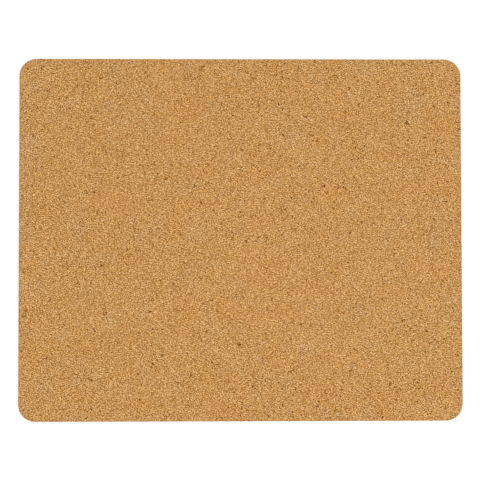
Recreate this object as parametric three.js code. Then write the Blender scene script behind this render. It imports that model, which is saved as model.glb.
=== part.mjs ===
// Cork mouse pad: a round-cornered rectangle made of three sheets bonded face to face.
// A sheet of fine-grained cork is glued by a thin adhesive film to a non-slip rubber base.
// Millimetres, +Z up. The origin is the middle of the underside, on the desk.

import * as THREE from "three";

// The pad's outline, which all three sheets are cut to.
const PAD_WIDTH = 220; // left to right, along X
const PAD_DEPTH = 180; // front to back, along Y
const CORNER_RADIUS = 8.5;

// The sheets, from the desk up.
const BASE_THICKNESS = 0.875;
const FILM_THICKNESS = 0.125;
const CORK_THICKNESS = 2;
const CORK_EDGE_ROUND = 0.3; // radius of the cork's top edge, where the wrist rubs it

// How finely the round stretches are faceted.
const CORNER_DIVISIONS = 8; // points in each eighth of a turn
const EDGE_STEPS = 3; // facets across the cork's rounded top edge
const QUARTER_TURN = Math.PI / 2;

const corkFinish = new THREE.MeshStandardMaterial({ color: "#c49359", roughness: 0.85, metalness: 0 });
const filmFinish = new THREE.MeshStandardMaterial({ color: "#d8c79a", roughness: 0.45, metalness: 0 });
const rubberFinish = new THREE.MeshStandardMaterial({ color: "#242322", roughness: 0.9, metalness: 0 });

// The pad's outline, drawn in by an inset, anticlockwise from the right-hand side's far end.
function padOutline(inset = 0) {
  const radius = CORNER_RADIUS - inset;
  const centreX = PAD_WIDTH / 2 - CORNER_RADIUS;
  const centreY = PAD_DEPTH / 2 - CORNER_RADIUS;
  return new THREE.Shape()
    .absarc(centreX, centreY, radius, 0, QUARTER_TURN)
    .absarc(-centreX, centreY, radius, QUARTER_TURN, 2 * QUARTER_TURN)
    .absarc(-centreX, -centreY, radius, 2 * QUARTER_TURN, 3 * QUARTER_TURN)
    .absarc(centreX, -centreY, radius, 3 * QUARTER_TURN, 4 * QUARTER_TURN);
}

// A sheet with square-cut edges.
function squareSheet(thickness) {
  return new THREE.ExtrudeGeometry(padOutline(), {
    depth: thickness,
    curveSegments: CORNER_DIVISIONS,
    bevelEnabled: false,
  });
}

// A sheet whose top edge is rounded over: outlines stacked from its square bottom edge up to its top face.
function roundedSheet(thickness, edgeRound) {
  const levels = [{ inset: 0, z: 0 }];
  for (let step = 0; step <= EDGE_STEPS; step++) {
    const angle = (step / EDGE_STEPS) * QUARTER_TURN;
    levels.push({
      inset: edgeRound * (1 - Math.cos(angle)),
      z: thickness - edgeRound * (1 - Math.sin(angle)),
    });
  }
  return stackedOutlines(levels);
}

// A closed solid that runs through one outline at each level, with a flat cap at its bottom and its top.
function stackedOutlines(levels) {
  const rings = levels.map(({ inset }) => padOutline(inset).getPoints(CORNER_DIVISIONS));
  const count = rings[0].length;
  const positions = rings.flatMap((ring, level) => ring.flatMap(({ x, y }) => [x, y, levels[level].z]));
  const faces = [];
  for (let level = 1; level < rings.length; level++) {
    for (let i = 0; i < count; i++) {
      const next = (i + 1) % count;
      const below = (level - 1) * count;
      const above = level * count;
      faces.push(below + i, below + next, above + next);
      faces.push(below + i, above + next, above + i);
    }
  }
  const top = (rings.length - 1) * count;
  for (const [a, b, c] of THREE.ShapeUtils.triangulateShape(rings[0], [])) {
    faces.push(c, b, a);
    faces.push(top + a, top + b, top + c);
  }
  const shared = new THREE.BufferGeometry();
  shared.setAttribute("position", new THREE.Float32BufferAttribute(positions, 3));
  shared.setIndex(faces);
  const faceted = shared.toNonIndexed(); // corners of its own for each face, so that flat faces look flat
  faceted.computeVertexNormals();
  return faceted;
}

// One sheet of the pad, lying at a height above the desk.
function sheet(name, geometry, finish, height) {
  const mesh = new THREE.Mesh(geometry, finish);
  mesh.name = name;
  mesh.position.z = height;
  return mesh;
}

const FILM_HEIGHT = BASE_THICKNESS;
const CORK_HEIGHT = FILM_HEIGHT + FILM_THICKNESS;

const pad = new THREE.Group();
pad.name = "cork_mouse_pad";
pad.add(
  sheet("rubber_base", squareSheet(BASE_THICKNESS), rubberFinish, 0),
  sheet("adhesive_film", squareSheet(FILM_THICKNESS), filmFinish, FILM_HEIGHT),
  sheet("cork_sheet", roundedSheet(CORK_THICKNESS, CORK_EDGE_ROUND), corkFinish, CORK_HEIGHT),
);

export default pad;
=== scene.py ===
"""Dresses the cork mouse pad: granular cork, a waffled rubber underside, floor, light and camera.

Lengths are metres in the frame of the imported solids: +Z up, the middle of the underside at the origin.
"""

import math

import bpy
import numpy as np
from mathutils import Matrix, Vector
from mathutils.geometry import delaunay_2d_cdt


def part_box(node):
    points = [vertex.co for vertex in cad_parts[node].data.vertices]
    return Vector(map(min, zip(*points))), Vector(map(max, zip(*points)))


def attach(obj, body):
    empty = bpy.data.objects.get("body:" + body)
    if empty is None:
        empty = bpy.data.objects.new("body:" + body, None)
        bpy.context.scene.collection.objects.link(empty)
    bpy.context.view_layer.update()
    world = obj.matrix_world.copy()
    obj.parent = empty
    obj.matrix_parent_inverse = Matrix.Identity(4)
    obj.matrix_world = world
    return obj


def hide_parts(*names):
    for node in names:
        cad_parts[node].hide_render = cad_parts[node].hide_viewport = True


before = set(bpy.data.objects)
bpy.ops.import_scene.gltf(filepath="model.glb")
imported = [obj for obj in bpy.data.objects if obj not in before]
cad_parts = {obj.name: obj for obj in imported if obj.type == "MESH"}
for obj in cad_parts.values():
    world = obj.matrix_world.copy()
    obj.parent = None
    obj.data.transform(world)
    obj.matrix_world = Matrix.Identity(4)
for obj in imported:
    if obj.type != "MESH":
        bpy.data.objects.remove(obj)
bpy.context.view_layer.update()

MM = 0.001
SEED = 7
SAME_PLACE = 1e-6  # points this near to a plane of a solid lie on it
QUAD_CORNERS = 4
HULL_TRIANGLES = 0  # asks delaunay_2d_cdt to fill the hull of its points with triangles

# The photograph's camera: nearly straight above the pad, which fills most of the frame.
CAMERA_LENS_MM = 100
CAMERA_SENSOR_MM = 36
CAMERA_PLACE = (-12.2 * MM, -23.6 * MM, 664.4 * MM)
CAMERA_TURN_DEG = (2.018, -1.017, -0.08)

# Cork granules, which lie slightly stretched along the pad's long side.
GRANULE_WIDTH = 1.06 * MM
GRANULE_DEPTH = 0.86 * MM
SEED_JITTER = 0.42  # as a share of a granule
EDGE_CLEAR = 0.28 * MM  # least distance of a granule's middle from the edge of the sanded face
MIRROR_BAND = 4 * MM  # granules this near to that edge are mirrored across it, so that cells end there
SHORT_EDGE = 0.06 * MM  # granule edges shorter than this shrink to a point

# Hollows left between granules by sanding.
SEAM_DEPTH = 0.012 * MM
HOLLOW_SHARE, HOLLOW_DEPTHS = 0.12, (0.04 * MM, 0.11 * MM)
DEEP_SHARE, DEEP_DEPTHS = 0.02, (0.14 * MM, 0.26 * MM)
LOST_SHARE, LOST_DEPTH = 0.006, 0.12 * MM  # granules that have come out whole

# The sheet's worn top edge and its cut wall.
ROUND_STEPS = 3
WALL_ROWS = 4
WALL_ROUGHNESS = 0.03 * MM
CHIP_SHARE, CHIP_DEPTHS = 0.02, (0.06 * MM, 0.16 * MM)
ROW_JITTER = 0.12 * MM
RUB_WIDTH = 2 * MM  # how far in from the edge hands have rubbed the face

# The rubber base: a plain rim round a field of square studs.
STUD_PITCH = 3 * MM
GROOVE_WIDTH = 0.8 * MM
GROOVE_DEPTH = 0.25 * MM
RIM_WIDTH = 4 * MM
BASE_BEVEL = 0.12 * MM
CORNER_STEP_DEG = 4  # how finely its round corners are faceted
CRISP_EDGE_DEG = 25  # edges that turn by more than this look sharp

# The UV map that a sheet's patterns are baked through: its seen face above, strips of its wall below.
MAP_MARGIN = 0.01
MAP_GAP = 0.008
MAP_STRIPS = 4

# Lightness is counted in levels, from 0 for black to 255 for white in the finished picture.
WHITE = 255
MIDDLE = 0.5  # of a scale from 0 to 1, and what noise and random numbers average
GRID_TURN_DEG = 33  # how far askew to the pad's sides the patterns' grids lie, so that no rows show

# Cork colours, in levels of red, green and blue.
CORK_BROWN = (202, 149, 86)  # its middle brown
CORK_LEVEL = 153  # the lightness that this brown stands for
CORK_SHIFTS = (-110, -70, -35, 0, 30, 60, 90)  # how much darker and lighter its other browns are
CORK_DARK_SHARES = (0.95, 0.98, 1.5)  # of a darker brown's shift, in red, green and blue
CORK_PALE_SHARES = (1.02, 1, 1.15)  # of a lighter brown's
DARKEST_CHANNEL = 8
COOL_TINT, WARM_TINT = (252, 255, 255), (255, 251, 233)  # filters over the browns, from patch to patch
TINT_SIZE, TINT_STRETCH, TINT_DETAIL = 12 * MM, 1.25, 2.0
COOLEST, WARMEST = 0.3, 0.7  # where in the patches' noise these filters lie

# Cork patterns: how large, how many times longer along X than across, and how many levels each is worth.
SPECK_SIZE, SPECK_STRETCH, SPECK_LEVELS = 0.25 * MM, 1.0, 222
STREAK_SIZE, STREAK_STRETCH, STREAK_LEVELS = 0.375 * MM, 5.0, 64
FLAKE_SIZE, FLAKE_STRETCH, FLAKE_LEVELS = 0.27 * MM, 3.4, 40
FLAKE_WARP, FLAKE_WARP_DETAIL = 0.2, 1.0  # how far flakes' outlines wander, as a share of their size
FLAKE_REACH = 0.53  # how far from a flake's middle most places lie, as a share of its size
FLAKE_EDGE_LEVELS = -35  # for each flake's size away from its middle
BLOTCH_SIZE, BLOTCH_STRETCH, BLOTCH_LEVELS = 8 * MM, 1.25, 12
BLOTCH_DETAIL = 1.0
GRANULE_LEVELS = 12

# Marks on these patterns: where they begin, where they are full, and how many levels they are worth there.
PORE_SIZE, PORE_STRETCH = 0.375 * MM, 1.6
PORE_SOFT, PORE_FULL, PORE_LEVELS = 0.39, 0.275, -150  # at the low end of a noise of that size
FLECK_SOFT, FLECK_FULL, FLECK_LEVELS = 0.64, 0.75, 66  # pale flecks, at its high end
# Painted shade in the hollows between granules: deeper hollows are drawn darker, in place of the shade
# that falls in them.
HOLLOW_SHADE_SOFT, HOLLOW_SHADE_FULL, HOLLOW_SHADE_LEVELS = 0.35, 0.75, -75  # by depth, as a share of the deepest hollow's
RUB_LEVELS = -4
WALL_CONTRAST = 0.5  # on the cut wall, as a share of the contrast on the face

# The cork's surface.
CORK_ROUGHNESS = 0.95
RUB_POLISH = 0.1  # how much smoother hands have rubbed it
PALE_POLISH = 0.12  # how much smoother white is than black
CORK_SHINE = 0.2
CORK_GLOSS = 0.0086  # how much white light that shine adds to its colour
CORK_BUMP, CORK_BUMP_DEPTH = 0.5, 0.06 * MM

# The rubber's looks. Its tone runs from 0 to 1.
RUBBER_GRAIN_SIZE, RUBBER_GRAIN_DETAIL, RUBBER_GRAIN_SHARE = 0.35 * MM, 3.0, 0.45
RUBBER_CLOUD_SIZE, RUBBER_CLOUD_DETAIL, RUBBER_CLOUD_SHARE = 14 * MM, 4.0, 0.5
GROOVE_DUST = 0.18  # how much dust adds to the tone at a groove's bottom
RUBBER_GREYS = ((0.2, (20, 20, 20)), (0.5, (33, 32, 31)), (0.75, (47, 46, 44)), (1.0, (66, 63, 60)))
RUBBER_TONES, RUBBER_ROUGHNESS = (0.25, 0.85), (0.68, 0.92)
RUBBER_SHINE = 0.35
RUBBER_BUMP, RUBBER_BUMP_DEPTH = 0.5, 0.04 * MM

# The adhesive's looks. Its tone runs from 0 to 1 too.
GLUE_CLOUD_SIZE, GLUE_CLOUD_DETAIL, GLUE_CLOUD_SHARE = 5 * MM, 3.0, 0.6
GLUE_BEAD_SIZE, GLUE_BEAD_DETAIL, GLUE_BEAD_SHARE = 0.4 * MM, 2.0, 0.4
GLUE_AMBERS = ((0.3, (150, 118, 62)), (0.5, (187, 158, 98)), (0.7, (212, 190, 138)))
GLUE_CLOUDS, GLUE_ROUGHNESS = (0.3, 0.7), (0.35, 0.6)
GLUE_BUMP, GLUE_BUMP_DEPTH = 0.4, 0.03 * MM

# The floor lies a hair below the pad, so that no two faces share a plane.
FLOOR_DROP = 0.05 * MM
FLOOR_SIZE = 6.0
FLOOR_COLOUR = 0.27
FLOOR_ROUGHNESS = 0.9
FLOOR_GLOW = 0.74  # with the light on its colour, this makes the floor just white

# Light: a white room and one large soft lamp to the right of the user.
WHITE_LIGHT = (1, 1, 1, 1)
ROOM_LIGHT = 1.0
LAMP_WATTS = 8.6
LAMP_SIZE = 1.2
LAMP_PLACE = (0.5, -0.5, 1.3)
LIGHT_ON_PAD = 1.284  # how brightly both light a flat face, where 1 shows white as white


# The solids' sizes, and places inside their outline.

def solid_points(node):
    """The corners of a CAD node's faces, one row each."""
    return np.array([vertex.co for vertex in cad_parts[node].data.vertices])


def corner_radius(node):
    """A sheet's corner radius: how far short of its right-hand side its far edge stops."""
    points = solid_points(node)
    far_edge = points[points[:, 1] > points[:, 1].max() - SAME_PLACE]
    return points[:, 0].max() - far_edge[:, 0].max()


def top_round(node):
    """The radius of a sheet's top edge: how far its top face stops short of its side."""
    points = solid_points(node)
    top_face = points[points[:, 2] > points[:, 2].max() - SAME_PLACE]
    return points[:, 0].max() - top_face[:, 0].max()


def to_edge(points, half_size, radius):
    """How far points lie inside a round-cornered rectangle, and the way out to its nearest edge."""
    past = np.abs(points) - (half_size - radius)
    reach = np.maximum(np.linalg.norm(past, axis=1), SAME_PLACE)
    in_corner = (past > 0).all(axis=1)
    inside = radius - np.where(in_corner, reach, past.max(axis=1))
    out = np.where(in_corner[:, None], past / reach[:, None], np.eye(2)[past.argmax(axis=1)])
    return inside, out * np.sign(points)


# Granules.

def scattered_seeds(rng, half_size, radius):
    """Middles of granules: staggered rows, shaken out of line, inside a round-cornered rectangle."""
    columns, rows = (2 * half_size / (GRANULE_WIDTH, GRANULE_DEPTH)).astype(int) + 2
    row, column = np.mgrid[:rows, :columns]
    across = (column + row % 2 / 2 - columns / 2) * GRANULE_WIDTH
    along = (row - rows / 2) * GRANULE_DEPTH
    seeds = np.stack([across.ravel(), along.ravel()], axis=1)
    seeds += rng.uniform(-SEED_JITTER, SEED_JITTER, seeds.shape) * (GRANULE_WIDTH, GRANULE_DEPTH)
    inside, _ = to_edge(seeds, half_size, radius)
    return seeds[inside > EDGE_CLEAR]


def with_mirrored(seeds, half_size, radius):
    """Granules' middles, followed by those that are mirrored across the edge."""
    inside, out = to_edge(seeds, half_size, radius)
    near = inside < MIRROR_BAND
    mirrored = seeds[near] + 2 * inside[near, None] * out[near]
    return np.vstack([seeds, mirrored])


def triangles_between(places):
    """Triangles between neighbouring places, as rows of place numbers."""
    corners = [Vector(place) for place in places.tolist()]
    _, _, faces, origins, _, _ = delaunay_2d_cdt(corners, [], [], HULL_TRIANGLES, 0)
    number = np.array([same_place[0] for same_place in origins])
    return number[np.array(faces)]


def circle_middles(corners):
    """The middle of the circle through each triangle's three corners."""
    first = corners[:, 0]
    second = corners[:, 1] - first
    third = corners[:, 2] - first
    doubled = 2 * (second[:, 0] * third[:, 1] - second[:, 1] * third[:, 0])
    second_square = (second**2).sum(axis=1)
    third_square = (third**2).sum(axis=1)
    x = third[:, 1] * second_square - second[:, 1] * third_square
    y = second[:, 0] * third_square - third[:, 0] * second_square
    return first + np.stack([x, y], axis=1) / doubled[:, None]


def neighbours(triangles):
    """Pairs of triangles that share an edge."""
    edges = np.sort(triangles[:, [[0, 1], [1, 2], [2, 0]]].reshape(-1, 2), axis=1)
    keys = edges[:, 0] * (triangles.max() + 1) + edges[:, 1]
    order = np.argsort(keys, kind="stable")
    shared = keys[order][1:] == keys[order][:-1]
    owner = order // 3
    return np.stack([owner[:-1][shared], owner[1:][shared]], axis=1)


def joined_groups(count, pairs):
    """Numbers things so that all those joined by pairs, straight or through others, have one number."""
    group = np.arange(count)
    while True:
        lowest = np.minimum(group[pairs[:, 0]], group[pairs[:, 1]])
        lower = group.copy()
        np.minimum.at(lower, pairs[:, 0], lowest)
        np.minimum.at(lower, pairs[:, 1], lowest)
        if (lower == group).all():
            return np.unique(group, return_inverse=True)[1]
        group = lower


def joined_meetings(meetings, pairs):
    """Meeting points with those joined that a short edge parts, and each old one's number among these."""
    gaps = np.linalg.norm(meetings[pairs[:, 0]] - meetings[pairs[:, 1]], axis=1)
    group = joined_groups(len(meetings), pairs[gaps < SHORT_EDGE])
    sizes = np.bincount(group)
    points = np.stack([np.bincount(group, meetings[:, axis]) / sizes for axis in (0, 1)], axis=1)
    return points, group


def granule_rings(seeds, triangles, meetings, group):
    """The ring of meeting points round each seed, anticlockwise. The triangles number the seeds first."""
    owner = triangles.ravel()
    meeting = np.repeat(np.arange(len(triangles)), 3)
    of_seed = owner < len(seeds)
    owner, meeting = owner[of_seed], meeting[of_seed]
    away = meetings[meeting] - seeds[owner]
    order = np.lexsort((np.arctan2(away[:, 1], away[:, 0]), owner))
    owner, ring = owner[order], group[meeting[order]]
    starts = np.flatnonzero(np.r_[True, owner[1:] != owner[:-1]])
    following = np.arange(1, len(ring) + 1)
    following[np.r_[starts[1:], len(ring)] - 1] = starts
    kept = ring != ring[following]
    counts = np.bincount(owner[kept], minlength=len(seeds))
    return [cell for cell in np.split(ring[kept], np.cumsum(counts)[:-1]) if len(cell) > 2]


def granule_cells(rng, half_size, radius):
    """Granules that fill a round-cornered rectangle: where they meet, and each one's ring of points."""
    seeds = scattered_seeds(rng, half_size, radius)
    places = with_mirrored(seeds, half_size, radius)
    triangles = triangles_between(places)
    meetings = circle_middles(places[triangles])
    points, group = joined_meetings(meetings, neighbours(triangles))
    rings = granule_rings(seeds, triangles, meetings, group)
    used, flat = np.unique(np.concatenate(rings), return_inverse=True)
    return points[used], np.split(flat, np.cumsum([len(cell) for cell in rings])[:-1])


def outer_ring(rings):
    """The edge of a patch of faces, as a ring of point numbers in the faces' own turning direction."""
    starts = np.concatenate(rings)
    ends = np.concatenate([np.roll(ring, -1) for ring in rings])
    count = starts.max() + 1
    lone = ~np.isin(starts * count + ends, ends * count + starts)
    following = dict(zip(starts[lone].tolist(), ends[lone].tolist()))
    ring = [int(starts[lone].min())]
    while following[ring[-1]] != ring[0]:
        ring.append(following[ring[-1]])
    return np.array(ring)


def hollow_depths(rng, count):
    """How far below the sanded face each meeting point of granules lies."""
    depths = np.abs(rng.normal(0, SEAM_DEPTH, count))
    chance = rng.random(count)
    hollow = chance < HOLLOW_SHARE
    deep = chance < DEEP_SHARE
    depths[hollow] = rng.uniform(*HOLLOW_DEPTHS, hollow.sum())
    depths[deep] = rng.uniform(*DEEP_DEPTHS, deep.sum())
    return depths


# Meshes.

def strips(below, above):
    """Quads between two rings of equal count, which face out where the rings turn anticlockwise."""
    return np.stack([below, np.roll(below, -1), np.roll(above, -1), above], axis=1)


def mesh_object(name, points, faces):
    """A smooth-shaded mesh object in the scene."""
    mesh = bpy.data.meshes.new(name)
    mesh.from_pydata(points, [], faces)
    mesh.polygons.foreach_set("use_smooth", np.ones(len(faces), bool))
    mesh.update()
    piece = bpy.data.objects.new(name, mesh)
    bpy.context.scene.collection.objects.link(piece)
    return piece


def give_values(piece, name, domain, values):
    """Stores one number for each of a mesh's points or faces, for its material to read."""
    attribute = piece.data.attributes.new(name, "FLOAT", domain)
    attribute.data.foreach_set("value", np.asarray(values, np.float32))


def strip_places(rows, columns, bottom, height):
    """UV places of a wall's quads, row by row from its top, cut into strips of equal length."""
    per_strip = math.ceil(columns / MAP_STRIPS)
    row, column = np.mgrid[:rows, :columns]
    step = (1 - 2 * MAP_MARGIN) / per_strip
    left = MAP_MARGIN + column % per_strip * step
    top = bottom + column // per_strip * (height + MAP_GAP) + height * (1 - row / rows)
    low = top - height / rows
    corners = [(left, low), (left + step, low), (left + step, top), (left, top)]
    return np.stack([np.stack(corner, axis=-1) for corner in corners], axis=2).reshape(-1, 2)


def add_bake_map(piece, flat_faces, wall_rows, wall_columns):
    """Lays a sheet's faces out on a UV map, in their order: flat faces, wall quads, hidden face."""
    mesh = piece.data
    corner = np.empty(len(mesh.loops), int)
    mesh.loops.foreach_get("vertex_index", corner)
    place = np.array([vertex.co.xy for vertex in mesh.vertices])[corner]
    start = place.min(axis=0)
    size = np.ptp(place, axis=0)
    scale = (1 - 2 * MAP_MARGIN) / size[0]
    face_bottom = 1 - MAP_MARGIN - size[1] * scale
    height = (face_bottom - MAP_MARGIN) / (MAP_STRIPS + 1) - MAP_GAP
    flat_end = sum(len(face) for face in flat_faces)
    wall_end = flat_end + QUAD_CORNERS * wall_rows * wall_columns
    hidden_bottom = face_bottom - MAP_GAP - height
    uv = np.empty((len(corner), 2))
    uv[:flat_end] = (place[:flat_end] - start) * scale + (MAP_MARGIN, face_bottom)
    uv[flat_end:wall_end] = strip_places(wall_rows, wall_columns, MAP_MARGIN, height)
    uv[wall_end:] = (place[wall_end:] - start) * height / size[1] + (MAP_MARGIN, hidden_bottom)
    mesh.uv_layers.new(name="OFBake").uv.foreach_set("vector", uv.astype(np.float32).ravel())


# The cork sheet.

def cork_face(rng, half_size, radius):
    """The sanded face: its points, their depths, its granules' rings, its edge and the ways out there."""
    flat, rings = granule_cells(rng, half_size, radius)
    edge = outer_ring(rings)
    inside, out = to_edge(flat[edge], half_size, radius)
    flat[edge] += inside[:, None] * out
    depths = hollow_depths(rng, len(flat))
    for cell in np.flatnonzero(rng.random(len(rings)) < LOST_SHARE):
        depths[rings[cell]] = np.maximum(depths[rings[cell]], LOST_DEPTH)
    depths[edge] = 0
    return flat, depths, rings, edge, out


def rim_profile(height, round_radius):
    """How far out and how far down each ring of the rim lies: round the worn edge, then down the wall."""
    angles = np.linspace(0, math.pi / 2, ROUND_STEPS + 1)[1:]
    drops = np.linspace(round_radius, height, WALL_ROWS + 1)[1:]
    profile = [(round_radius * math.sin(angle), round_radius * (1 - math.cos(angle))) for angle in angles]
    return profile + [(round_radius, drop) for drop in drops]


def cork_rim(rng, rim, out, top, bottom, round_radius):
    """Rings of points from the sanded face over its worn edge and down the rough-cut wall."""
    along = np.column_stack([-out[:, 1], out[:, 0]])
    profile = rim_profile(top - bottom, round_radius)
    rings = []
    for row, (reach, drop) in enumerate(profile, start=1):
        # Rings stray more on their way down, but the last one, on the underside, is true.
        looseness = min(1, row / (2 * ROUND_STEPS)) * (row < len(profile))
        dents = rng.exponential(WALL_ROUGHNESS, len(rim))
        chipped = rng.random(len(rim)) < CHIP_SHARE
        dents[chipped] += rng.uniform(*CHIP_DEPTHS, chipped.sum())
        shifts = rng.uniform(-ROW_JITTER, ROW_JITTER, (2, len(rim))) * looseness
        place = rim + (reach - dents * (looseness > 0))[:, None] * out + shifts[0][:, None] * along
        rings.append(np.column_stack([place, top - drop + shifts[1]]))
    return rings


def cork_sheet():
    """The cork: a sanded face of granules, a worn round edge, a rough-cut wall and a flat underside."""
    rng = np.random.default_rng(SEED)
    low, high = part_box("cork_sheet")
    round_radius = top_round("cork_sheet")
    face_half = np.array(high.xy) - round_radius
    face_radius = corner_radius("cork_sheet") - round_radius
    flat, depths, rings, edge, out = cork_face(rng, face_half, face_radius)
    walls = cork_rim(rng, flat[edge], out, high.z, low.z, round_radius)
    granules = [ring.tolist() for ring in rings]
    faces = list(granules)
    above = edge
    for row in range(len(walls)):
        below = len(flat) + row * len(edge) + np.arange(len(edge))
        faces += strips(below, above).tolist()
        above = below
    faces.append(above[::-1].tolist())

    face_points = np.column_stack([flat, high.z - depths])
    piece = mesh_object("cork_face", np.vstack([face_points, *walls]), faces)
    on_wall = np.ones(len(walls) * len(edge))
    inside, _ = to_edge(flat, face_half, face_radius)
    rubbed = np.clip(1 - inside / RUB_WIDTH, 0, 1)
    # Each point's depth below the face, which the material turns into painted shade in the hollows.
    give_values(piece, "hollow", "POINT", np.r_[depths / DEEP_DEPTHS[1], 0 * on_wall])
    give_values(piece, "rubbed", "POINT", np.r_[rubbed, on_wall])
    give_values(piece, "wall", "POINT", np.r_[np.zeros(len(flat)), on_wall])
    give_values(piece, "granule", "FACE", rng.random(len(faces)))
    add_bake_map(piece, granules, len(walls), len(edge))
    return piece


# The rubber base.

def stud_lines(half_length):
    """Where grid lines cross one side of the studs' field, and which run along a groove's bottom."""
    studs = int((2 * half_length + GROOVE_WIDTH) / STUD_PITCH)
    stud = STUD_PITCH - GROOVE_WIDTH
    starts = (np.arange(studs) - studs / 2) * STUD_PITCH + GROOVE_WIDTH / 2
    grooves = starts + stud + GROOVE_WIDTH / 2
    lines = np.stack([starts, starts + stud, grooves], axis=1).ravel()[:-1]
    in_groove = np.arange(len(lines)) % 3 == 2
    # Grooves rise to the rim over half their width.
    slopes = (lines[0] + GROOVE_WIDTH / 2, lines[-1] - GROOVE_WIDTH / 2)
    before = [1, len(lines) - 1]
    return np.insert(lines, before, slopes), np.insert(in_groove, before, False)


def field_edge(columns, rows):
    """The edge of a grid of points numbered row by row, anticlockwise."""
    grid = np.arange(columns * rows).reshape(rows, columns)
    return np.concatenate([grid[0, :-1], grid[:-1, -1], grid[-1, :0:-1], grid[:0:-1, 0]])


def stud_field(half_size, bottom):
    """The studs and grooves: their points, their faces and the field's edge."""
    x_lines, x_groove = stud_lines(half_size[0])
    y_lines, y_groove = stud_lines(half_size[1])
    columns, rows = len(x_lines), len(y_lines)
    x, y = np.meshgrid(x_lines, y_lines)
    grooved = x_groove[None, :] | y_groove[:, None]
    grooved[[0, -1], :] = False
    grooved[:, [0, -1]] = False
    points = np.column_stack([x.ravel(), y.ravel(), bottom + GROOVE_DEPTH * grooved.ravel()])
    corner = np.arange(columns * rows).reshape(rows, columns)
    quads = np.stack([corner[:-1, :-1], corner[1:, :-1], corner[1:, 1:], corner[:-1, 1:]], axis=-1)
    return points, quads.reshape(-1, QUAD_CORNERS).tolist(), field_edge(columns, rows)


def rim_places(inner, half_size, radius):
    """Places on the outline beside an inner ring of points, the ways out there, and each one's point."""
    _, out = to_edge(inner, half_size, radius)
    turn = np.arccos(np.clip((out * np.roll(out, -1, axis=0)).sum(axis=1), -1, 1))
    counts = np.maximum(1, np.ceil(turn / math.radians(CORNER_STEP_DEG)).astype(int))
    beside = np.repeat(np.arange(len(inner)), counts)
    step = np.arange(len(beside)) - np.repeat(np.cumsum(counts) - counts, counts)
    share = (step / counts[beside])[:, None]
    places = inner[beside] * (1 - share) + np.roll(inner, -1, axis=0)[beside] * share
    inside, out = to_edge(places, half_size, radius)
    return places + inside[:, None] * out, out, beside


def rubber_base():
    """The rubber: square studs with grooves between them, a plain rim, a cut wall and a flat top."""
    low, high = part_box("rubber_base")
    half_size = np.array(high.xy)
    field, faces, edge = stud_field(half_size - RIM_WIDTH, low.z)
    outline, out, beside = rim_places(field[edge, :2], half_size, corner_radius("rubber_base"))
    profile = [(BASE_BEVEL, low.z), (0, low.z + BASE_BEVEL), (0, high.z)]
    walls = [
        np.column_stack([outline - inset * out, np.full(len(out), height)])
        for inset, height in profile
    ]
    rings = [len(field) + row * len(out) + np.arange(len(out)) for row in range(len(profile))]
    for quad in strips(edge[beside], rings[0]).tolist():
        faces.append(quad[1:] if quad[0] == quad[1] else quad)
    underside = list(faces)
    for below, above in zip(rings, rings[1:]):
        faces += strips(below, above).tolist()
    faces.append(rings[-1].tolist())
    piece = mesh_object("rubber_tread", np.vstack([field, *walls]), faces)
    piece.data.set_sharp_from_angle(angle=math.radians(CRISP_EDGE_DEG))
    add_bake_map(piece, underside, len(rings) - 1, len(out))
    return piece


# Shader nodes.

def add(tree, kind, inputs=None, **settings):
    """A new shader node, with its settings made and its inputs linked or set."""
    node = tree.nodes.new("ShaderNode" + kind)
    for name, value in settings.items():
        setattr(node, name, value)
    for name, value in (inputs or {}).items():
        if isinstance(value, bpy.types.NodeSocket):
            tree.links.new(value, node.inputs[name])
        else:
            node.inputs[name].default_value = value
    return node


def reckon(tree, operation, *values):
    """A sum, product or the like of values, each a number or another node's output."""
    return add(tree, "Math", dict(enumerate(values)), operation=operation).outputs[0]


def spread(tree, value, low, high, new_low, new_high):
    """A value between low and high, moved to lie between two other numbers."""
    inputs = {"Value": value, "From Min": low, "From Max": high, "To Min": new_low, "To Max": new_high}
    return add(tree, "MapRange", inputs).outputs[0]


def stored(tree, name):
    """The number that a mesh stores under a name."""
    return add(tree, "Attribute", attribute_name=name).outputs["Fac"]


def linear(colour):
    """Linear light for an sRGB colour given in levels."""
    shares = np.array(colour) / WHITE
    return np.where(shares <= 0.04045, shares / 12.92, ((shares + 0.055) / 1.055) ** 2.4)


def ramp(tree, factor, stops, light=1.0, gloss=0.0):
    """A colour that follows a factor through stops of (place, sRGB colour as it looks in the light)."""
    node = add(tree, "ValToRGB", {"Fac": factor})
    elements = node.color_ramp.elements
    while len(elements) < len(stops):
        elements.new(MIDDLE)
    for element, (place, colour) in zip(elements, stops):
        element.position = place
        element.color = (*np.maximum((linear(colour) - gloss) / light, 0), 1)
    return node.outputs["Color"]


def stretched(tree, place, stretch):
    """A place whose patterns come out longer along X, on a grid that lies askew to the pad's sides."""
    turn = (0, 0, math.radians(GRID_TURN_DEG))
    inputs = {"Vector": place, "Scale": (1 / stretch, 1, 1), "Rotation": turn}
    return add(tree, "Mapping", inputs).outputs[0]


def noise(tree, place, size, stretch=1.0, detail=0.0):
    """Soft random spots of about a size, as 0 to 1."""
    inputs = {"Vector": stretched(tree, place, stretch), "Scale": 1 / size, "Detail": detail}
    return add(tree, "TexNoise", inputs).outputs["Fac"]


def wandering(tree, place, size):
    """A place shifted a little at random, so that outlines drawn by it wander."""
    inputs = {"Vector": place, "Scale": 1 / size, "Detail": FLAKE_WARP_DETAIL}
    wander = add(tree, "TexNoise", inputs).outputs["Color"]
    centred = add(tree, "VectorMath", {0: wander, 1: [MIDDLE] * 3}, operation="SUBTRACT").outputs[0]
    shift = add(tree, "VectorMath", {0: centred, "Scale": FLAKE_WARP * size}, operation="SCALE").outputs[0]
    return add(tree, "VectorMath", {0: place, 1: shift}, operation="ADD").outputs[0]


def flakes(tree, place, size, stretch):
    """Flakes with wandering outlines: each place's flake as a number, and how far off its middle it is."""
    moved = stretched(tree, wandering(tree, place, size), stretch)
    cells = add(tree, "TexVoronoi", {"Vector": moved, "Scale": 1 / size})
    number = add(tree, "SeparateColor", {0: cells.outputs["Color"]}).outputs[0]
    return number, cells.outputs["Distance"]


# Materials.

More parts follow.
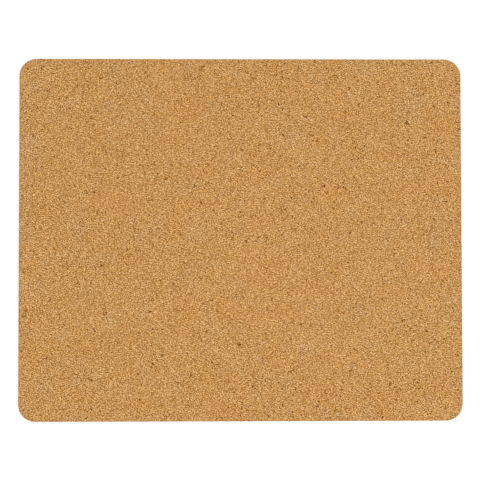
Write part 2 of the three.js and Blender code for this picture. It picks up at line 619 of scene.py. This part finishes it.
def new_material(name):
    """A material, its node tree, its main shader, and the place on the object that patterns go by."""
    material = bpy.data.materials.new(name)
    material.use_nodes = True
    tree = material.node_tree
    return material, tree, tree.nodes["Principled BSDF"], add(tree, "TexCoord").outputs["Object"]


def add_bump(tree, shader, height, strength, depth):
    """Makes a surface look uneven, by a pattern that says how high it is."""
    bump = add(tree, "Bump", {"Height": height, "Strength": strength, "Distance": depth})
    tree.links.new(bump.outputs[0], shader.inputs["Normal"])


def cork_patterns(tree, place):
    """Patterns all over the cork: each one's value, its usual value and the levels that it is worth."""
    flake, off_middle = flakes(tree, place, FLAKE_SIZE, FLAKE_STRETCH)
    return (
        (noise(tree, place, SPECK_SIZE, SPECK_STRETCH), MIDDLE, SPECK_LEVELS),
        (noise(tree, place, STREAK_SIZE, STREAK_STRETCH), MIDDLE, STREAK_LEVELS),
        (flake, MIDDLE, FLAKE_LEVELS),
        (off_middle, FLAKE_REACH, FLAKE_EDGE_LEVELS),
        (noise(tree, place, BLOTCH_SIZE, BLOTCH_STRETCH, BLOTCH_DETAIL), MIDDLE, BLOTCH_LEVELS),
        (stored(tree, "granule"), MIDDLE, GRANULE_LEVELS),
    )


def cork_marks(tree, place):
    """Marks here and there on the cork, and painted shade in its hollows: how full each is, as 0 to 1, and
    the levels that it is worth.
    """
    grain = noise(tree, place, PORE_SIZE, PORE_STRETCH)
    return (
        (spread(tree, grain, PORE_SOFT, PORE_FULL, 0, 1), PORE_LEVELS),
        (spread(tree, grain, FLECK_SOFT, FLECK_FULL, 0, 1), FLECK_LEVELS),
        # Painted shade: the deeper a hollow, the darker its colour.
        (spread(tree, stored(tree, "hollow"), HOLLOW_SHADE_SOFT, HOLLOW_SHADE_FULL, 0, 1), HOLLOW_SHADE_LEVELS),
        (stored(tree, "rubbed"), RUB_LEVELS),
    )


def cork_tone(tree, place):
    """How light the cork is from place to place, as 0 to 1."""
    patterns = cork_patterns(tree, place)
    tone = (CORK_LEVEL - sum(usual * levels for _, usual, levels in patterns)) / WHITE
    for value, _, levels in patterns:
        tone = reckon(tree, "MULTIPLY_ADD", value, levels / WHITE, tone)
    for value, levels in cork_marks(tree, place):
        tone = reckon(tree, "MULTIPLY_ADD", value, levels / WHITE, tone)
    contrast = spread(tree, stored(tree, "wall"), 0, 1, 1, WALL_CONTRAST)
    away = reckon(tree, "SUBTRACT", tone, CORK_LEVEL / WHITE)
    return reckon(tree, "MULTIPLY_ADD", away, contrast, CORK_LEVEL / WHITE)


def cork_browns():
    """The cork's browns from dark to pale, as stops for a tone from 0 to 1."""
    stops = []
    for shift in CORK_SHIFTS:
        shares = CORK_DARK_SHARES if shift < 0 else CORK_PALE_SHARES
        colour = np.array(CORK_BROWN) + shift * np.array(shares)
        stops.append(((CORK_LEVEL + shift) / WHITE, np.clip(colour, DARKEST_CHANNEL, WHITE)))
    return stops


def cork_material():
    """Fine cork: specks, streaks and flakes of many browns, painted shade in its hollows, a little
    polished by hands.
    """
    material, tree, shader, place = new_material("fine_cork")
    tone = cork_tone(tree, place)
    brown = ramp(tree, tone, cork_browns(), LIGHT_ON_PAD, CORK_GLOSS)
    warmth = noise(tree, place, TINT_SIZE, TINT_STRETCH, TINT_DETAIL)
    tint = ramp(tree, warmth, [(COOLEST, COOL_TINT), (WARMEST, WARM_TINT)])
    tinted = add(tree, "VectorMath", {0: brown, 1: tint}, operation="MULTIPLY").outputs[0]
    tree.links.new(tinted, shader.inputs["Base Color"])
    polish = reckon(tree, "MULTIPLY_ADD", stored(tree, "rubbed"), -RUB_POLISH, CORK_ROUGHNESS)
    roughness = reckon(tree, "MULTIPLY_ADD", tone, -PALE_POLISH, polish)
    tree.links.new(roughness, shader.inputs["Roughness"])
    shader.inputs["Specular IOR Level"].default_value = CORK_SHINE
    add_bump(tree, shader, tone, CORK_BUMP, CORK_BUMP_DEPTH)
    return material


def rubber_material():
    """Matte black rubber: fine moulded grain, paler dust in the grooves, smoother where it is darker."""
    material, tree, shader, place = new_material("black_rubber")
    grain = noise(tree, place, RUBBER_GRAIN_SIZE, detail=RUBBER_GRAIN_DETAIL)
    clouds = noise(tree, place, RUBBER_CLOUD_SIZE, detail=RUBBER_CLOUD_DETAIL)
    height = add(tree, "SeparateXYZ", {0: place}).outputs["Z"]
    dust = spread(tree, height, 0, GROOVE_DEPTH, 0, GROOVE_DUST)
    tone = reckon(tree, "MULTIPLY_ADD", clouds, RUBBER_CLOUD_SHARE, dust)
    tone = reckon(tree, "MULTIPLY_ADD", grain, RUBBER_GRAIN_SHARE, tone)
    tree.links.new(ramp(tree, tone, RUBBER_GREYS), shader.inputs["Base Color"])
    roughness = spread(tree, tone, *RUBBER_TONES, *RUBBER_ROUGHNESS)
    tree.links.new(roughness, shader.inputs["Roughness"])
    shader.inputs["Specular IOR Level"].default_value = RUBBER_SHINE
    add_bump(tree, shader, grain, RUBBER_BUMP, RUBBER_BUMP_DEPTH)
    return material


def adhesive_material():
    """Cured glue: clouded pale amber, glossier where its clouds are thin."""
    material, tree, shader, place = new_material("amber_glue")
    clouds = noise(tree, place, GLUE_CLOUD_SIZE, detail=GLUE_CLOUD_DETAIL)
    beads = noise(tree, place, GLUE_BEAD_SIZE, detail=GLUE_BEAD_DETAIL)
    cloud_tone = reckon(tree, "MULTIPLY", clouds, GLUE_CLOUD_SHARE)
    tone = reckon(tree, "MULTIPLY_ADD", beads, GLUE_BEAD_SHARE, cloud_tone)
    tree.links.new(ramp(tree, tone, GLUE_AMBERS), shader.inputs["Base Color"])
    roughness = spread(tree, clouds, *GLUE_CLOUDS, *GLUE_ROUGHNESS)
    tree.links.new(roughness, shader.inputs["Roughness"])
    add_bump(tree, shader, beads, GLUE_BUMP, GLUE_BUMP_DEPTH)
    return material


# Floor, light and camera.

def white_floor():
    """A plain white floor, bright enough that only a trace of the pad's shadow shows."""
    bpy.ops.mesh.primitive_plane_add(size=FLOOR_SIZE, location=(0, 0, -FLOOR_DROP))
    floor = bpy.context.object
    floor.name = "floor"
    material, _, shader, _ = new_material("white_floor")
    shader.inputs["Base Color"].default_value = (FLOOR_COLOUR, FLOOR_COLOUR, FLOOR_COLOUR, 1)
    shader.inputs["Roughness"].default_value = FLOOR_ROUGHNESS
    shader.inputs["Specular IOR Level"].default_value = 0
    shader.inputs["Emission Color"].default_value = WHITE_LIGHT
    shader.inputs["Emission Strength"].default_value = FLOOR_GLOW
    floor.data.materials.append(material)


def studio_light():
    """White surroundings and one large soft lamp."""
    world = bpy.data.worlds.new("white_room")
    world.use_nodes = True
    room = world.node_tree.nodes["Background"]
    room.inputs["Color"].default_value = WHITE_LIGHT
    room.inputs["Strength"].default_value = ROOM_LIGHT
    bpy.context.scene.world = world
    lamp = bpy.data.lights.new("soft_lamp", "AREA")
    lamp.size = LAMP_SIZE
    lamp.energy = LAMP_WATTS
    holder = bpy.data.objects.new("soft_lamp", lamp)
    holder.location = LAMP_PLACE
    holder.rotation_euler = (-holder.location).to_track_quat("-Z", "Y").to_euler()
    bpy.context.scene.collection.objects.link(holder)
    bpy.context.scene.view_settings.view_transform = "Standard"


def photo_camera():
    """The camera at the photograph's place."""
    camera = bpy.data.cameras.new("camera")
    camera.lens = CAMERA_LENS_MM
    camera.sensor_width = CAMERA_SENSOR_MM
    holder = bpy.data.objects.new("camera", camera)
    holder.location = CAMERA_PLACE
    holder.rotation_euler = [math.radians(turn) for turn in CAMERA_TURN_DEG]
    bpy.context.scene.collection.objects.link(holder)
    bpy.context.scene.camera = holder


def dress(piece, node, material):
    """Puts a new piece in a CAD node's place, with its material."""
    piece.data.materials.append(material)
    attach(piece, "root")
    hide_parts(node)


photo_camera()
studio_light()
white_floor()

cork = cork_sheet()
dress(cork, "cork_sheet", cork_material())
base = rubber_base()
dress(base, "rubber_base", rubber_material())
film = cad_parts["adhesive_film"]
film.data.materials.clear()
film.data.materials.append(adhesive_material())
